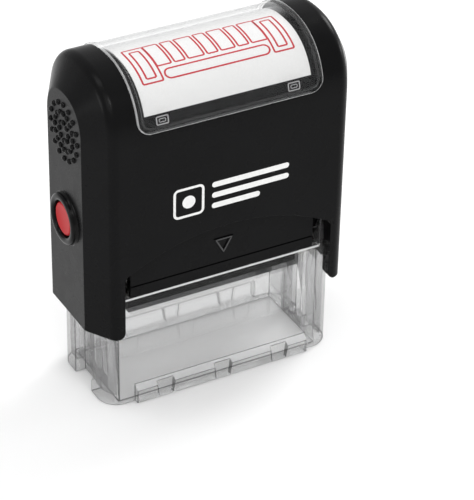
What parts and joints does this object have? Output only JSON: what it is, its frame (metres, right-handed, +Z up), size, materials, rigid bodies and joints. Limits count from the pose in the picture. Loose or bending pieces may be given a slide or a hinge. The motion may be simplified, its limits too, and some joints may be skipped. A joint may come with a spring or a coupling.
{
  "type": "self inking stamp",
  "caption": "Spring-loaded hand stamp: a black arched case with a clear label window slides down a clear frame and flips an inked text plate.",
  "frame": {"origin": "middle of the clear frame's base, on the table", "axes": "+Z up, along the case's travel; +X along the stamp's width, towards its right side seen from the front; -Y is the front"},
  "size_m": [0.0624, 0.0288, 0.0773],
  "materials": {
    "case_abs": "satin moulded ABS, fine texture",
    "mechanism_abs": "satin moulded ABS",
    "clear_frame": "clear moulded plastic, polished",
    "clear_window": "clear moulded plastic, polished",
    "paper": "coated paper with a red imprint",
    "grip": "glossy raised beads",
    "button_red": "satin",
    "spring_steel": "drawn wire",
    "ink_felt": "felt soaked with ink",
    "cushion_foam": "adhesive foam",
    "die_rubber": "inked text plate",
    "axle_steel": "ground pin",
    "cam_acetal": "natural acetal"
  },
  "bodies": {
    "frame": {"clear_frame": "clear_frame", "frame_bridge": "mechanism_abs", "ink_tray": "mechanism_abs", "ink_felt": "ink_felt", "main_spring": "spring_steel"},
    "case": {"case_shell": "case_abs", "carriage": "mechanism_abs", "index_label": "paper", "left_bezel": "case_abs", "right_bezel": "case_abs", "left_grip": "grip", "right_grip": "grip", "left_button_spring": "spring_steel", "right_button_spring": "spring_steel"},
    "window": {"window_cover": "clear_window"},
    "left_button": {"left_button": "button_red"},
    "right_button": {"right_button": "button_red"},
    "die": {"die_carrier": "mechanism_abs", "die_cushion": "cushion_foam", "die_text": "die_rubber", "left_axle": "axle_steel", "right_axle": "axle_steel", "left_cam": "cam_acetal", "right_cam": "cam_acetal"}
  },
  "joints": [
    {"name": "press", "type": "slide", "parent": "frame", "child": "case", "axis": [0, 0, -1], "range_m": [0, 0.0183], "stiffness_N_per_m": 350, "springref_m": -0.01, "deforming": ["main_spring"]},
    {"name": "die_flip", "type": "hinge", "parent": "case", "child": "die", "pos_m": [0, 0, 0.0223], "axis": [1, 0, 0], "range_deg": [0, 180]},
    {"name": "window_lift", "type": "slide", "parent": "case", "child": "window", "axis": [0, 0, 1], "range_m": [0, 0.016]},
    {"name": "left_button_press", "type": "slide", "parent": "case", "child": "left_button", "axis": [1, 0, 0], "range_m": [0, 0.0011], "stiffness_N_per_m": 800, "springref_m": -0.0008, "deforming": ["left_button_spring"]},
    {"name": "right_button_press", "type": "slide", "parent": "case", "child": "right_button", "axis": [-1, 0, 0], "range_m": [0, 0.0011], "stiffness_N_per_m": 800, "springref_m": -0.0008, "deforming": ["right_button_spring"]}
  ],
  "couplings": [
    {"joint": "die_flip", "follows": "press", "rad_per_m": 171.67}
  ]
}
